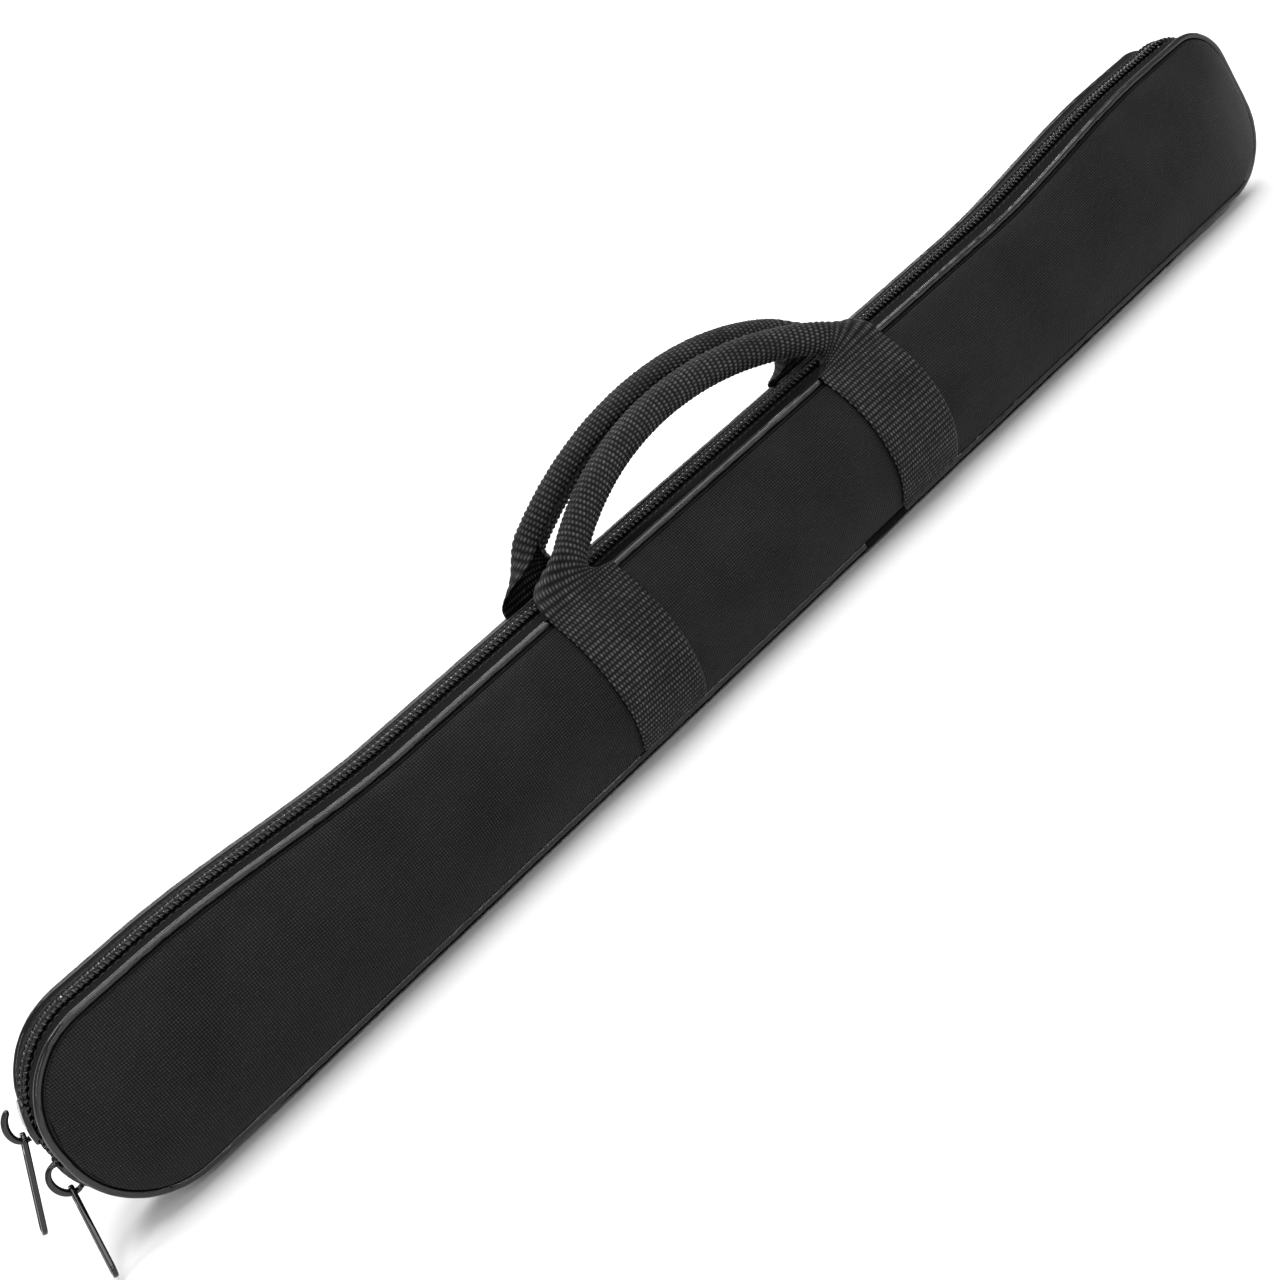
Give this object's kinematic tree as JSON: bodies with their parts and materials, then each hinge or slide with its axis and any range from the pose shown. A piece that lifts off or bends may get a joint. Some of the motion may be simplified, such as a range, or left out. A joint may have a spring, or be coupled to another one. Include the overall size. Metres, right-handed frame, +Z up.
{
  "type": "rod case",
  "caption": "Slim padded soft case for a short or sectioned rod, piped edges, zipped along the top and ends, with a pair of rolled webbing handles.",
  "frame": {"origin": "on the flat of the bottom gusset that the case stands on, midway between the handle straps and between the front and back sides", "axes": "+X along the case from the end with the zip sliders, -Y out of the front side, +Z up to the zip and handles"},
  "size_m": [0.6184, 0.063, 0.1051],
  "materials": {
    "shell_fabric": "plain-weave polyester, dull sheen",
    "gusset_fabric": "smooth coated polyester",
    "foam": "closed-cell foam",
    "lining": "thin nylon lining",
    "piping_vinyl": "glossy vinyl bead",
    "zip_tape": "woven tape",
    "zip_coil": "glossy nylon coil",
    "zip_metal": "gloss black enamel",
    "webbing": "ribbed polypropylene webbing"
  },
  "bodies": {
    "case_back": {"back_panel": "shell_fabric", "back_foam": "foam", "back_lining": "lining", "back_piping": "piping_vinyl", "back_piping_join": "gusset_fabric", "back_gusset_strip": "gusset_fabric", "back_zip_tape": "zip_tape", "back_coil": "zip_coil", "back_zip_stops": "zip_metal", "back_left_strap": "webbing", "back_right_strap": "webbing", "bottom_gusset": "gusset_fabric", "bottom_foam": "foam", "bottom_lining": "lining"},
    "lid": {"front_panel": "shell_fabric", "front_foam": "foam", "front_lining": "lining", "front_piping": "piping_vinyl", "front_piping_join": "gusset_fabric", "front_gusset_strip": "gusset_fabric", "front_zip_tape": "zip_tape", "front_coil": "zip_coil", "front_zip_stops": "zip_metal", "front_left_strap": "webbing", "front_right_strap": "webbing"},
    "front_handle": {"front_handle_webbing": "webbing", "front_handle_core": "foam"},
    "back_handle": {"back_handle_webbing": "webbing", "back_handle_core": "foam"},
    "upper_slider": {"upper_slider": "zip_metal"},
    "upper_pull": {"upper_pull": "zip_metal"},
    "lower_slider": {"lower_slider": "zip_metal"},
    "lower_pull": {"lower_pull": "zip_metal"}
  },
  "joints": [
    {"name": "lid_hinge", "type": "hinge", "parent": "case_back", "child": "lid", "pos_m": [0, -0.015, 0.006], "axis": [1, 0, 0], "range_deg": [0, 70]},
    {"name": "front_handle_fold", "type": "hinge", "parent": "lid", "child": "front_handle", "pos_m": [0, -0.0176, 0.0651], "axis": [1, 0, 0], "range_deg": [0, 115]},
    {"name": "back_handle_fold", "type": "hinge", "parent": "case_back", "child": "back_handle", "pos_m": [0, 0.0176, 0.0651], "axis": [-1, 0, 0], "range_deg": [0, 115]},
    {"name": "upper_slider_travel", "type": "hinge", "parent": "case_back", "child": "upper_slider", "pos_m": [-0.275, 0, 0.041], "axis": [0, 1, 0], "range_deg": [0, 64]},
    {"name": "upper_pull_swing", "type": "hinge", "parent": "upper_slider", "child": "upper_pull", "pos_m": [-0.3079, 0, 0.05106], "axis": [0, 1, 0], "range_deg": [0, 110]},
    {"name": "lower_slider_travel", "type": "hinge", "parent": "case_back", "child": "lower_slider", "pos_m": [-0.275, 0, 0.036], "axis": [0, -1, 0], "range_deg": [0, 14]},
    {"name": "lower_pull_swing", "type": "hinge", "parent": "lower_slider", "child": "lower_pull", "pos_m": [-0.30998, 0, 0.02348], "axis": [-0.9563, 0, 0.2924], "range_deg": [0, 52]}
  ]
}
